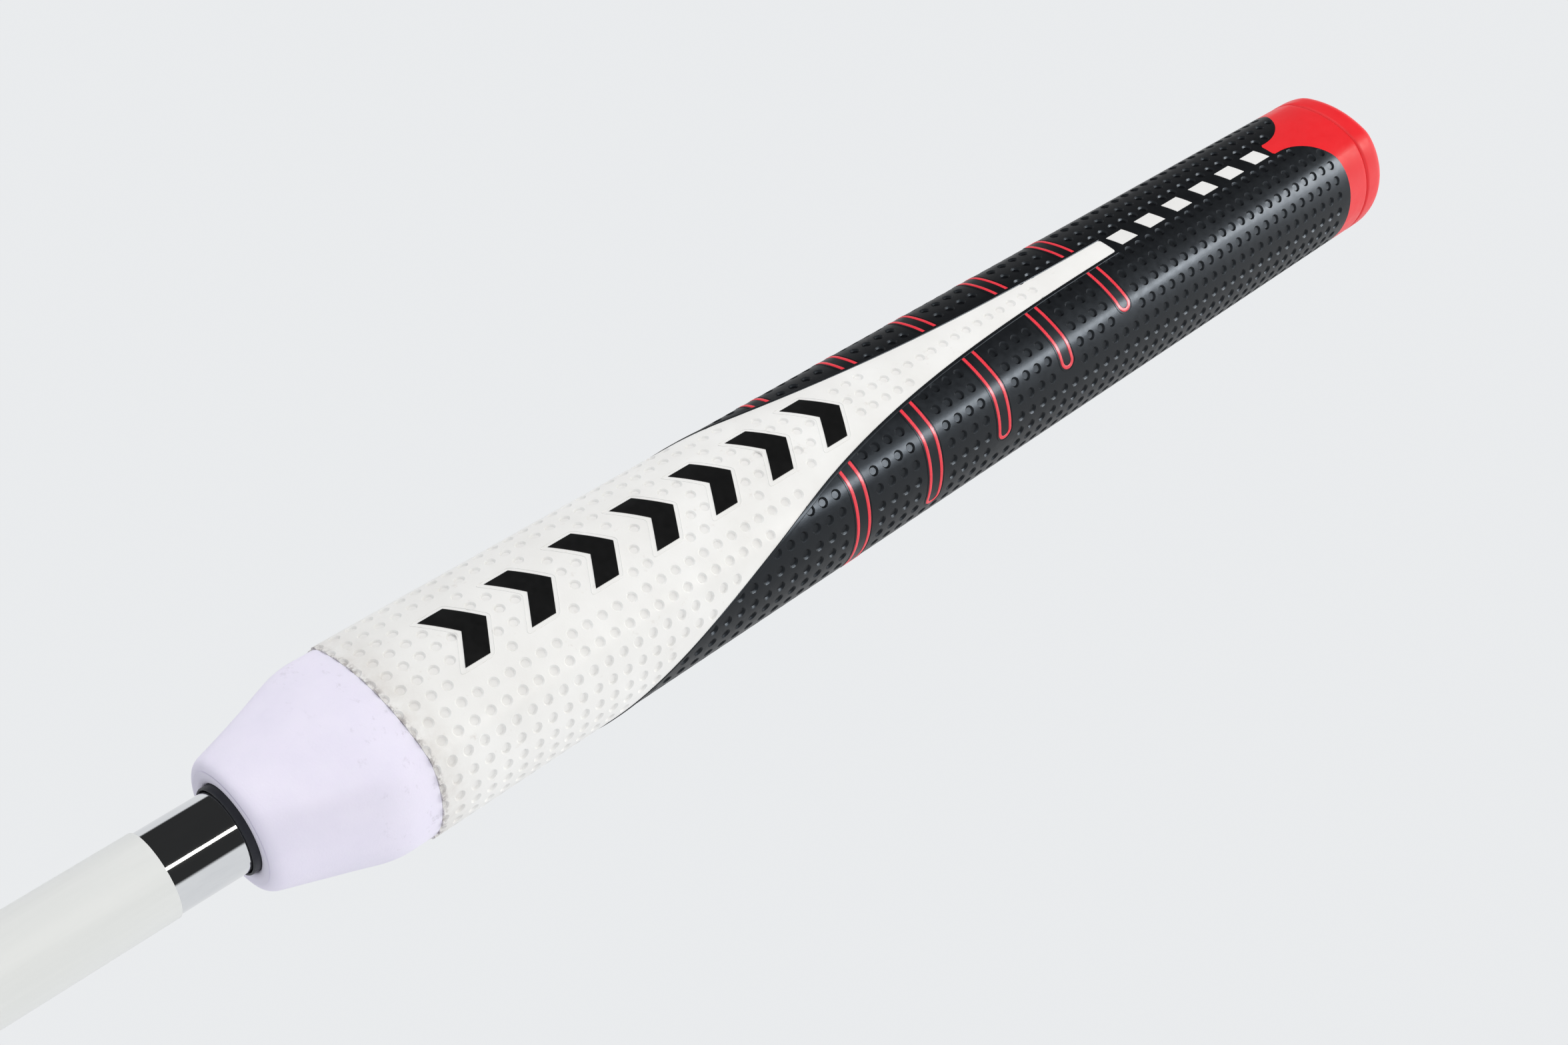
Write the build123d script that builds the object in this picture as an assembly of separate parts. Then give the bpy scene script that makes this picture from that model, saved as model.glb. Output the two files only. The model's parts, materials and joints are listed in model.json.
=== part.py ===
"""Reverse-taper putter grip fitted on the butt end of a shaft.  Millimetres.

Frame: +Z runs up the shaft to the butt cap, the flat thumb side faces -Y, and the origin is
the centre of the shaft's cut lower end.  Sizes called heights are measured up from the mouth,
which is the foam face at the grip's lower end.  Angles are measured from the front line (-Y).
"""

from build123d import *
import math
import os

# ---- shaft ----
SHAFT_DIAMETER = 14.73  # 0.580 in, the standard butt of a putter shaft
SHAFT_WALL = 0.5
SHAFT_EXPOSED = 62.0  # cut end to the grip's mouth
SLEEVE_WALL = 0.28
SLEEVE_FROM_CUT = 12.0  # bare shaft left below the white sleeve
SLEEVE_TO_MOUTH = 14.0  # bare shaft left between the sleeve and the mouth
TAPE_WALL = 0.15
TAPE_SETBACK = 3.0  # the tape starts this far inside the mouth

# ---- grip body ----
GRIP_LENGTH = 300.0  # foam face to the end of the cap
BODY_RADIUS_MOUTH = 19.2  # the round back and sides
BODY_RADIUS_CAP = 16.1
FRONT_HEIGHT_MOUTH = 13.9  # axis to the crown of the flat front
FRONT_HEIGHT_CAP = 15.2
FRONT_CROWN_MOUTH = 35.0  # radius that crowns the front
FRONT_CROWN_CAP = 24.0
FRONT_CORNER = 6.5  # radius that blends the front into the sides
LINER_WALL = 0.45
LINER_PROUD = 1.2  # liner standing out of the foam face
LINER_EDGE_ROUND = 0.2

# ---- foam nose and skin ----
NOSE_RADIUS = 12.0  # foam face, round back and sides
NOSE_FRONT_HEIGHT = 11.4
NOSE_FRONT_CROWN = 15.0
NOSE_EDGE_ROUND = 1.5
NOSE_SHOULDER = 20.5  # height where the nose reaches full section
NOSE_SHOULDER_ROUND = 10.0
SKIN_START = 27.6  # height of the skin's lower edge
SKIN_WALL = 2.0
SKIN_PROUD = 0.35  # skin standing above the bare foam

# ---- butt cap ----
CAP_SKIRT_LENGTH = 14.8  # end of the cap to the skirt's edge round the sides and back
CAP_TONGUE_LENGTH = 14.9  # how far the tongue on the front reaches beyond the skirt's edge
CAP_TONGUE_STRAIGHT = 1.7  # its parallel part, before it flares into the skirt
CAP_TONGUE_HALF_WIDTH = 1.9
CAP_GROOVE_FROM_END = 8.0
CAP_GROOVE_WIDTH = 0.8
CAP_GROOVE_DEPTH = 0.5
CAP_END_WALL = 5.0
CAP_END_ROUND = 4.4
VENT_DIAMETER = 3.2

# ---- white panel: how the height of its edge falls with the angle ----
PANEL_TIP_FROM_END = 85.3  # end of the cap to the square tip of the panel
PANEL_EDGE_DROP = 99.0  # tip to the height that the two terms below start from
PANEL_EDGE_FALL = 61.9
PANEL_EDGE_FLARE = 23.66
PANEL_EDGE_NARROW = 0.066
PANEL_TURN = 60.0  # angle where the edge passes from the front on to the side

# ---- red outlines of the bars on each side ----
BAR_LAST_BELOW_TIP = 8.8  # the bar nearest the cap, below the panel's tip
BAR_PITCH = 20.0
BAR_END_ANGLES = (118.0, 98.0, 80.0, 59.0, 46.0)  # from the mouth towards the cap
BAR_LINE_SPACING = 3.0
BAR_LINE_WIDTH = 0.75

# ---- inlaid marks on the front ----
CHEVRON_COUNT = 7
CHEVRON_FIRST_ABOVE_SKIN = 14.4  # foot of the first one above the skin's lower edge
CHEVRON_LAST_BELOW_TIP = 88.7  # foot of the last one below the panel's tip
CHEVRON_HALF_WIDTH = 6.4
CHEVRON_SWEEP = 4.2
CHEVRON_BAND = 5.2
TICK_COUNT = 6
TICK_MARGIN = 1.6  # bare skin at each end of the row
TICK_SPACE = 3.0  # between neighbours
TICK_HALF_WIDTH = 1.75
TICK_SLANT = 1.2
INLAY_DEPTH = 0.5
INLAY_PROUD = 0.08

GAP = 0.03  # between pieces of the assembly that lie face to face
REACH = 30.0  # cutting tools reach this far from the axis

# ---- worked out ----
MOUTH = SHAFT_EXPOSED
CAP_INSIDE = GRIP_LENGTH - CAP_END_WALL  # height of the cap's inner face
CAP_SKIRT = GRIP_LENGTH - CAP_SKIRT_LENGTH
CAP_TONGUE_TIP = CAP_SKIRT - CAP_TONGUE_LENGTH
PANEL_TIP = GRIP_LENGTH - PANEL_TIP_FROM_END
PANEL_EDGE_BASE = PANEL_TIP - PANEL_EDGE_DROP
CORE_TOP = CAP_INSIDE - GAP
SHAFT_RADIUS = SHAFT_DIAMETER / 2
TAPE_RADIUS = SHAFT_RADIUS + GAP + TAPE_WALL
LINER_RADIUS = TAPE_RADIUS + GAP + LINER_WALL
FOAM_BORE_RADIUS = LINER_RADIUS + GAP


# ---- the grip's outline ----
def taper(at_mouth, at_cap, height):
    """A size that changes evenly from the mouth to the end of the cap."""
    return at_mouth + (at_cap - at_mouth) * height / GRIP_LENGTH


def blend(back, front, crown, corner):
    """How far aside and forward of the axis the corner arcs have their centres."""
    crown_centre = front - crown
    forward = ((back - corner) ** 2 - (crown - corner) ** 2 + crown_centre**2) / (2 * crown_centre)
    return math.sqrt((back - corner) ** 2 - forward**2), forward


def outline(height, back, front, crown, corner):
    """A round back and sides, blended through two corners into a crowned front."""
    aside, forward = blend(back, front, crown, corner)
    back_start = math.degrees(math.atan2(aside, forward))
    crown_end = math.degrees(math.atan2(aside, forward - front + crown))
    turn = back_start - crown_end
    arcs = [
        CenterArc((0, crown - front), crown, 270 - crown_end, 2 * crown_end),
        CenterArc((aside, -forward), corner, 270 + crown_end, turn),
        CenterArc((0, 0), back, 270 + back_start, 360 - 2 * back_start),
        CenterArc((-aside, -forward), corner, 270 - back_start, turn),
    ]
    return Pos(0, 0, MOUTH + height) * make_face(arcs)


def sizes(height, inset=0.0):
    """Back radius, front height, crown radius and corner radius at a height."""
    return (
        taper(BODY_RADIUS_MOUTH, BODY_RADIUS_CAP, height) - inset,
        taper(FRONT_HEIGHT_MOUTH, FRONT_HEIGHT_CAP, height) - inset,
        taper(FRONT_CROWN_MOUTH, FRONT_CROWN_CAP, height) - inset,
        FRONT_CORNER - inset,
    )


def surface_radius(height, angle):
    """Distance from the axis to the grip's surface, at an angle from the front line."""
    back, front, crown, corner = sizes(height)
    aside, forward = blend(back, front, crown, corner)
    side, ahead = math.sin(math.radians(angle)), math.cos(math.radians(angle))
    if angle > math.degrees(math.atan2(aside, forward)):
        return back
    along = ahead * (front - crown)
    at_crown = along + math.sqrt(crown**2 - (front - crown) ** 2 + along**2)
    crown_half_width = crown * math.sin(math.atan2(aside, forward - front + crown))
    if at_crown * side < crown_half_width:
        return at_crown
    along = side * aside + ahead * forward
    return along + math.sqrt(corner**2 - aside**2 - forward**2 + along**2)


def body(low, high, inset=0.0):
    """The solid tapered body between two heights."""
    return loft([outline(low, *sizes(low, inset)), outline(high, *sizes(high, inset))], ruled=True)


def layer(low, high, outer_inset, inner_inset):
    """A layer of the body between two insets from its surface."""
    return body(low, high, outer_inset) - body(low - 1, high + 1, inner_inset)


def rod(radius, low, high):
    """A round rod on the axis, between two heights."""
    return Pos(0, 0, MOUTH + low) * Cylinder(radius, high - low, align=(Align.CENTER, Align.CENTER, Align.MIN))


def tube(radius, bore, low, high):
    """A round tube on the axis, between two heights."""
    return rod(radius, low, high) - rod(bore, low - 1, high + 1)


# ---- cutting tools for the skins, the cap and the inlays ----
def front_prism(face):
    """A face drawn as (aside, height) on the front, carried from the axis out past the front."""
    return extrude(Plane((0, 0, MOUTH), x_dir=(1, 0, 0), z_dir=(0, -1, 0)) * face, REACH)


def side_prism(face):
    """A face drawn as (backward, height), carried right through from side to side."""
    return extrude(Plane((0, 0, MOUTH), x_dir=(0, 1, 0), z_dir=(1, 0, 0)) * face, REACH, both=True)


def panel_edge_height(angle):
    """Height of the white panel's edge: level at the back, then sweeping up to a narrow tip."""
    lean = math.sin(math.radians(angle) / 2)
    return PANEL_EDGE_BASE - PANEL_EDGE_FALL * lean - PANEL_EDGE_FLARE * math.log(lean - PANEL_EDGE_NARROW)


def panel_edge_point(angle):
    """(aside, backward, height) of the panel's edge on the surface."""
    height = panel_edge_height(angle)
    radius = surface_radius(height, angle)
    turn = math.radians(angle)
    return radius * math.sin(turn), -radius * math.cos(turn), height


def panel_tip_angle():
    """Angle at which the panel's edge reaches the height of its tip, found by halving."""
    low, high = 2 * math.degrees(math.asin(PANEL_EDGE_NARROW)) + 0.01, PANEL_TURN
    for _ in range(50):
        middle = (low + high) / 2
        if panel_edge_height(middle) > PANEL_TIP:
            low = middle
        else:
            high = middle
    return high


def beyond_panel():
    """Everything on the cap's side of the white panel's edge."""
    top = GRIP_LENGTH + REACH
    steps = 9
    tip_angle = panel_tip_angle()
    on_side = [panel_edge_point(180 + (PANEL_TURN - 180) * i / steps) for i in range(steps + 1)]
    on_front = [panel_edge_point(PANEL_TURN + (tip_angle - PANEL_TURN) * i / steps) for i in range(steps + 1)]
    side_points = [(backward, height) for _, backward, height in on_side]
    front_points = [(aside, height) for aside, _, height in on_front]
    side_edge = [Spline(side_points, tangents=[(-0.2, 1), (-1, 1)])]
    side_edge += Polyline(side_points[-1], (side_points[-1][0], top), (REACH, top),
                          (REACH, side_points[0][1]), side_points[0]).edges()
    front_edge = [Spline(front_points)]
    front_edge += Polyline(front_points[-1], (0, PANEL_TIP), (0, top), (REACH, top),
                           (REACH, front_points[0][1]), front_points[0]).edges()
    right = front_prism(make_face(front_edge))
    return side_prism(make_face(side_edge)) + right + mirror(right, Plane.YZ)


def cap_region():
    """Everything above the cap's skirt edge, with the tongue that flares out of it on the front."""
    half_width = surface_radius(CAP_SKIRT, 90)
    flare_height = CAP_TONGUE_LENGTH - CAP_TONGUE_STRAIGHT
    flare = EllipticalCenterArc((half_width, CAP_SKIRT - flare_height),
                                half_width - CAP_TONGUE_HALF_WIDTH, flare_height, 90, arc_size=90)
    rest = Polyline(flare @ 1, (CAP_TONGUE_HALF_WIDTH, CAP_TONGUE_TIP), (0, CAP_TONGUE_TIP),
                    (0, CAP_SKIRT + 1), (half_width, CAP_SKIRT + 1), flare @ 0).edges()
    right = front_prism(make_face([flare] + rest))
    return rod(REACH, CAP_SKIRT, GRIP_LENGTH + REACH) + right + mirror(right, Plane.YZ)


def bar_height(number):
    """Height of a bar, counted from the mouth towards the cap."""
    return PANEL_TIP - BAR_LAST_BELOW_TIP - BAR_PITCH * (len(BAR_END_ANGLES) - 1 - number)


def bar_outline(number):
    """The two parallel lines of a bar on the +X side, closed by a round end."""
    end = BAR_END_ANGLES[number]
    outer = (BAR_LINE_SPACING + BAR_LINE_WIDTH) / 2
    inner = (BAR_LINE_SPACING - BAR_LINE_WIDTH) / 2
    middle, reach = end / 2, 2 * REACH
    corners = [(reach * math.sin(math.radians(a)), -reach * math.cos(math.radians(a))) for a in (0, middle, end)]
    wedge = make_face(Polyline((0, 0), *corners, (0, 0)))
    height = MOUTH + bar_height(number)
    lines = Pos(0, 0, height - outer) * extrude(wedge, 2 * outer)
    lines -= Pos(0, 0, height - inner) * extrude(wedge, 2 * inner)
    outward = Vector(math.sin(math.radians(end)), -math.cos(math.radians(end)), 0)
    onward = Vector(math.cos(math.radians(end)), math.sin(math.radians(end)), 0)
    ring = Circle(outer) - Circle(inner)
    half_ring = ring & Pos(outer, 0) * Rectangle(2 * outer, 3 * outer)
    return lines + extrude(Plane((0, 0, height), x_dir=onward, z_dir=outward) * half_ring, REACH)


def chevron(number):
    """A V-shaped band pointing at the cap, as (aside, height) on the front."""
    first = SKIN_START + CHEVRON_FIRST_ABOVE_SKIN
    last = PANEL_TIP - CHEVRON_LAST_BELOW_TIP
    foot = first + (last - first) * number / (CHEVRON_COUNT - 1)
    lower = [(-CHEVRON_HALF_WIDTH, foot), (0, foot + CHEVRON_SWEEP), (CHEVRON_HALF_WIDTH, foot)]
    upper = [(aside, height + CHEVRON_BAND) for aside, height in reversed(lower)]
    return front_prism(make_face(Polyline(*lower, *upper, lower[0])))


def tick(number):
    """A short slanted dash on the front line, one of a row between the panel and the tongue."""
    pitch = (CAP_TONGUE_TIP - PANEL_TIP - 2 * TICK_MARGIN + TICK_SPACE) / TICK_COUNT
    low = PANEL_TIP + TICK_MARGIN + pitch * number
    high = low + pitch - TICK_SPACE - TICK_SLANT
    corners = [(-TICK_HALF_WIDTH, low), (TICK_HALF_WIDTH, low + TICK_SLANT),
               (TICK_HALF_WIDTH, high + TICK_SLANT), (-TICK_HALF_WIDTH, high)]
    return front_prism(make_face(Polyline(*corners, corners[0])))


# ---- pieces ----
def shaft_pieces():
    """The shaft, the sleeve and the tape on it, and the liner that the foam is moulded on."""
    sleeve_low, sleeve_high = SLEEVE_FROM_CUT - MOUTH, -SLEEVE_TO_MOUTH
    liner = tube(LINER_RADIUS, TAPE_RADIUS + GAP, -LINER_PROUD, CORE_TOP)
    lip = liner.edges().filter_by_position(Axis.Z, *[MOUTH - LINER_PROUD] * 2).sort_by(SortBy.LENGTH)[-1]
    return {
        "shaft_tube": tube(SHAFT_RADIUS, SHAFT_RADIUS - SHAFT_WALL, -MOUTH, CORE_TOP),
        "shaft_sleeve": tube(SHAFT_RADIUS + GAP + SLEEVE_WALL, SHAFT_RADIUS + GAP, sleeve_low, sleeve_high),
        "grip_tape": tube(TAPE_RADIUS, SHAFT_RADIUS + GAP, TAPE_SETBACK, CORE_TOP),
        "core_liner": fillet(lip, LINER_EDGE_ROUND),
    }


def foam_core():
    """Bare nose at the mouth, then the core that the skins are wrapped on."""
    face = outline(0, NOSE_RADIUS, NOSE_FRONT_HEIGHT, NOSE_FRONT_CROWN, FRONT_CORNER)
    nose = loft([face, outline(NOSE_SHOULDER, *sizes(NOSE_SHOULDER, SKIN_PROUD))], ruled=True)
    nose += body(NOSE_SHOULDER, SKIN_START - GAP, SKIN_PROUD)
    shoulder = nose.edges().filter_by_position(Axis.Z, *[MOUTH + NOSE_SHOULDER] * 2)
    nose = fillet(shoulder, NOSE_SHOULDER_ROUND)
    nose = fillet(nose.edges().filter_by_position(Axis.Z, MOUTH, MOUTH), NOSE_EDGE_ROUND)
    core = body(SKIN_START - SKIN_WALL, CORE_TOP, SKIN_WALL + GAP)
    return nose + core - rod(FOAM_BORE_RADIUS, -1, GRIP_LENGTH)


def butt_cap():
    """Skirt and tongue flush with the black skin, a groove below the rounded end, and a vent."""
    solid = body(CAP_TONGUE_TIP - 1, GRIP_LENGTH)
    solid = fillet(solid.edges().filter_by_position(Axis.Z, *[MOUTH + GRIP_LENGTH] * 2), CAP_END_ROUND)
    groove = GRIP_LENGTH - CAP_GROOVE_FROM_END
    solid -= layer(groove - CAP_GROOVE_WIDTH / 2, groove + CAP_GROOVE_WIDTH / 2, -1, CAP_GROOVE_DEPTH)
    solid -= body(CAP_TONGUE_TIP - 2, CAP_INSIDE, SKIN_WALL)
    return (solid & cap_region()) - rod(VENT_DIAMETER / 2, CAP_INSIDE - 1, GRIP_LENGTH + 1)


def skins_and_inlays():
    """The white panel, the black skin and the inlays let into them."""
    beyond = beyond_panel()
    skin = layer(SKIN_START, CAP_SKIRT, 0, SKIN_WALL)
    inlay_layer = layer(SKIN_START, CAP_SKIRT, -INLAY_PROUD, INLAY_DEPTH)
    black_skin = (skin & beyond) - cap_region()
    white_panel = skin - beyond
    pieces = {}
    for number in range(len(BAR_END_ANGLES)):
        right = inlay_layer & bar_outline(number) & beyond
        for side, inlay in (("right", right), ("left", mirror(right, Plane.YZ))):
            pieces[f"bar_outline_{side}_{number + 1}"] = inlay
            black_skin -= inlay
    for number in range(TICK_COUNT):
        inlay = inlay_layer & tick(number)
        pieces[f"alignment_tick_{number + 1}"] = inlay
        black_skin -= inlay
    for number in range(CHEVRON_COUNT):
        inlay = inlay_layer & chevron(number)
        pieces[f"front_chevron_{number + 1}"] = inlay
        white_panel -= inlay
    return pieces | {"white_panel": white_panel, "black_skin": black_skin}


def main():
    os.makedirs("parts", exist_ok=True)
    pieces = shaft_pieces() | {"foam_core": foam_core(), "butt_cap": butt_cap()} | skins_and_inlays()
    for name, piece in pieces.items():
        export_step(piece, f"parts/{name}.step")


if __name__ == "__main__":
    main()
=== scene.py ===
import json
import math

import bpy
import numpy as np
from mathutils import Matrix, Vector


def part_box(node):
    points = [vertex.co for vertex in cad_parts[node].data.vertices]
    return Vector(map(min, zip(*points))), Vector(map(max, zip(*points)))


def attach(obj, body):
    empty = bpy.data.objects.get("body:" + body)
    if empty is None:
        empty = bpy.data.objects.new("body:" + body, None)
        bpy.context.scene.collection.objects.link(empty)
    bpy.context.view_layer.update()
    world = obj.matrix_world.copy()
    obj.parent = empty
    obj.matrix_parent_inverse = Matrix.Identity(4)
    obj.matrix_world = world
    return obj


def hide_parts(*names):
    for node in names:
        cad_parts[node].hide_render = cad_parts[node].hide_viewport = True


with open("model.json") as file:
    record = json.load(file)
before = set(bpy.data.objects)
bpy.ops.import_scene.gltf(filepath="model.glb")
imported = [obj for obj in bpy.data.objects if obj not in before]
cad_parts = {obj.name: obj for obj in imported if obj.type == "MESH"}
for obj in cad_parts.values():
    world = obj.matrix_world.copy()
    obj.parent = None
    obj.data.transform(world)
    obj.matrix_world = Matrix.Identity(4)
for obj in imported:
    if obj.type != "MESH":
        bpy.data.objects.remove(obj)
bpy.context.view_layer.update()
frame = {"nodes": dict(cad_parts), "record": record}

# Reverse-taper putter grip on a cut length of shaft.  The skins, foam, cap, liner and bar
# outlines are built here in detail; the shaft, sleeve and front marks keep their CAD shapes.
# Sizes are in millimetres.  Heights are measured up from the mouth, the foam's lower face.
# Places on the skin are (arc, height): arc runs round the section from the front line (-Y).

MM = 0.001


def low_mm(node, axis=2):
    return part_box(node)[0][axis] / MM


def high_mm(node, axis=2):
    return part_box(node)[1][axis] / MM


# ---- sizes from the frame ----
MOUTH = low_mm("foam_core")
GRIP_LENGTH = high_mm("butt_cap") - MOUTH
CORE_TOP = high_mm("foam_core") - MOUTH
SKIN_START = low_mm("white_panel") - MOUTH
PANEL_TIP = high_mm("white_panel") - MOUTH
CAP_SKIRT = high_mm("black_skin") - MOUTH
CAP_TONGUE_TIP = low_mm("butt_cap") - MOUTH
LINER_PROUD = MOUTH - low_mm("core_liner")
LINER_RADIUS = high_mm("core_liner", 0)
GAP = 0.03  # between pieces, as in the CAD model
LINER_BORE = high_mm("grip_tape", 0) + GAP
FOAM_BORE = LINER_RADIUS + GAP

# ---- the grip's section, as in the CAD model ----
BODY_RADIUS = (19.2, 16.1)  # mouth, cap
FRONT_HEIGHT = (13.9, 15.2)
FRONT_CROWN = (35.0, 24.0)
FRONT_CORNER = 6.5
NOSE_OUTLINE = (12.0, 11.4, 15.0, 6.5)  # back radius, front height, crown, corner
NOSE_SHOULDER = 20.5
NOSE_EDGE = 1.7
NOSE_SOFT = 3.0
NOSE_WAVE = 0.0012  # share of the radius by which the moulded foam is uneven
SKIN_CREASE = 30  # degrees at which an edge of the skin shades sharp
SKIN_WALL = 2.0
SKIN_PROUD = 0.35
CAP_FLARE = 13.2
CAP_TONGUE_HALF_WIDTH = 1.9
CAP_GROOVE_FROM_END = 8.0
CAP_END_ROUND = 4.4
CAP_END_WALL = 5.0
VENT_RADIUS = 1.6
PANEL_EDGE_DROP, PANEL_EDGE_FALL = 99.0, 61.9
PANEL_EDGE_FLARE, PANEL_EDGE_NARROW = 23.66, 0.066

# ---- skin pattern ----
ROW_PITCH = 3.7  # round the section
ROWS_EVEN = 7  # rows on each side of the front line that keep that pitch
ROWS = 15  # rows on each side in all
SEAM_EDGE = 15.85  # the back seam, in rows
STEP_PITCH = 20 / 6  # up the grip
DIMPLE_RADIUS = 1.02
DIMPLE_DEPTH = 0.38
DIMPLE_RING = ((DIMPLE_RADIUS + 0.05, 0.0), (0.95, 0.3), (0.74, 1.0))  # radius, share of the depth
EDGE_LAND = (0.7, -0.3)  # plain strip beside the panel's edge, on the white and the black side
CAP_LAND = 0.1  # the same beside the cap
MARK_LAND = 0.4  # the same round bars, chevrons and ticks
BAR_SIDE_LAND = 1.0  # the same from a bar line to a dimple's centre
PLAIN_TIP = 22.0  # last part of the white strip, without dimples
CELL_STEPS = 4  # edge steps on each side of a dimple's cell
SEAM_SINK = 0.12  # depth of the groove along the back seam
SKIN_TURN_IN = 1.6  # how far a skin's cut edge turns in
RIDGE_WIDTH, RIDGE_HEIGHT, RIDGE_ASIDE = 0.75, 0.16, 0.34  # along the panel's edge, on the black
BAR_PITCH = 20.0
BAR_LAST_BELOW_TIP = 8.8
BAR_END_ANGLES = (118.0, 98.0, 80.0, 59.0, 46.0)
BAR_LINE_SPACING = 3.0
BAR_LINE_WIDTH = 0.75
BAR_LINE_HEIGHT = 0.07
BAR_LIP_OFFSET, BAR_LIP_WIDTH = 0.75, 0.34
CHEVRONS = 7
CHEVRON_HALF_WIDTH = 6.4
CHEVRON_SWEEP = 4.2
CHEVRON_BAND = 5.2
HALO_ASIDE, HALO_BEYOND = 0.75, 0.95  # the raised line round each chevron, clear of it
HALO_WIDTH, HALO_HEIGHT = 0.3, 0.08
TICK_HALF_WIDTH = 1.75


# ------------------------------------------------------------------ the grip's surface
def taper(pair, height):
    return pair[0] + (pair[1] - pair[0]) * height / GRIP_LENGTH


def section(height):
    """Back radius, front height, crown and corner radius at a height."""
    return (taper(BODY_RADIUS, height), taper(FRONT_HEIGHT, height), taper(FRONT_CROWN, height),
            FRONT_CORNER + 0 * height)


def blend(outline):
    """Corner centre (aside, forward) and the angles where the crown and the back begin."""
    back, front, crown, corner = outline
    centre = front - crown
    forward = ((back - corner) ** 2 - (crown - corner) ** 2 + centre**2) / (2 * centre)
    aside = np.sqrt((back - corner) ** 2 - forward**2)
    return aside, forward, np.arctan2(aside, forward - centre), np.arctan2(aside, forward)


def on_section(arc, outline):
    """(aside, forward, normal angle) at an arc length from the front line."""
    back, front, crown, corner = outline
    aside, forward, crown_end, back_start = blend(outline)
    size = np.abs(arc)
    first = crown * crown_end
    second = first + corner * (back_start - crown_end)
    turn = np.where(size < first, size / crown,
                    np.where(size < second, crown_end + (size - first) / corner,
                             back_start + (size - second) / back))
    radius = np.where(size < first, crown, np.where(size < second, corner, back))
    x = np.where(size < first, 0, np.where(size < second, aside, 0)) + radius * np.sin(turn)
    n = np.where(size < first, front - crown, np.where(size < second, forward, 0)) + radius * np.cos(turn)
    return np.sign(arc) * x, n, np.sign(arc) * turn


def half_round(height):
    """Arc length from the front line to the back seam."""
    outline = section(height)
    aside, forward, crown_end, back_start = blend(outline)
    return (outline[2] * crown_end + outline[3] * (back_start - crown_end)
            + outline[0] * (math.pi - back_start))


def place(arc, height, lift=0.0):
    """Points in the frame, in mm, at a height above the skin's surface."""
    x, n, turn = on_section(arc, section(height))
    return np.stack([x + lift * np.sin(turn), -(n + lift * np.cos(turn)), MOUTH + height + 0 * arc],
                    axis=-1)


def arc_at(angle, height):
    """Arc length at a polar angle (degrees) from the front line."""
    arcs = np.linspace(0, float(half_round(height)), 600)
    x, n, _ = on_section(arcs, section(np.full(600, height)))
    return float(np.interp(angle, np.degrees(np.arctan2(np.abs(x), n)), arcs))


def panel_edge(angle):
    """Height of the white panel's edge at a polar angle, before the square tip cuts it."""
    lean = np.sin(np.radians(np.abs(angle)) / 2) - PANEL_EDGE_NARROW
    rise = -PANEL_EDGE_FLARE * np.log(np.maximum(lean, 1e-6))
    return PANEL_TIP - PANEL_EDGE_DROP - PANEL_EDGE_FALL * (lean + PANEL_EDGE_NARROW) + rise


def beyond_panel(arc, height):
    """Positive on the black side of the panel's edge."""
    x, n, _ = on_section(arc, section(height))
    return height - np.minimum(panel_edge(np.degrees(np.arctan2(np.abs(x), n))), PANEL_TIP)


def beyond_cap_edge(x, n, height):
    """Positive on the cap's side of the edge of its skirt and tongue, at (aside, forward)."""
    wide = taper(BODY_RADIUS, CAP_SKIRT)
    share = np.clip((wide - np.abs(x)) / (wide - CAP_TONGUE_HALF_WIDTH), 0, 1)
    flare = CAP_SKIRT - CAP_FLARE * (1 - np.sqrt(1 - share**2))
    edge = np.where(np.abs(x) < CAP_TONGUE_HALF_WIDTH, CAP_TONGUE_TIP, flare)
    return height - np.where(n > 0, edge, CAP_SKIRT)


def beyond_skirt(arc, height):
    x, n, _ = on_section(arc, section(height))
    return beyond_cap_edge(x, n, height)


def row_arc(row, height):
    """Arc length of a row line: even pitch over the front and sides, closing up at the back."""
    even = ROWS_EVEN * ROW_PITCH
    back_pitch = (half_round(height) - even) / (SEAM_EDGE - ROWS_EVEN)
    size = np.abs(row)
    at_back = even + (size - ROWS_EVEN) * back_pitch
    return np.sign(row) * np.where(size < ROWS_EVEN, size * ROW_PITCH, at_back)


# ------------------------------------------------------------------ where the marks lie
def bar_height(number):
    return PANEL_TIP - BAR_LAST_BELOW_TIP - BAR_PITCH * (len(BAR_END_ANGLES) - 1 - number)


def edge_distance(arc, height, beyond=beyond_panel):
    """Rough distance from an edge, along the skin."""
    step = 0.5
    here = beyond(np.float64(arc), np.float64(height))
    rise = (beyond(np.float64(arc + step), np.float64(height)) - here) / step
    run = (beyond(np.float64(arc), np.float64(height + step)) - here) / step
    return float(abs(here) / np.hypot(rise, run))


BAR_ENDS = [arc_at(angle, bar_height(i)) for i, angle in enumerate(BAR_END_ANGLES)]
CHEVRON_FEET = [low_mm(f"front_chevron_{i + 1}") - MOUTH for i in range(CHEVRONS)]


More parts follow.
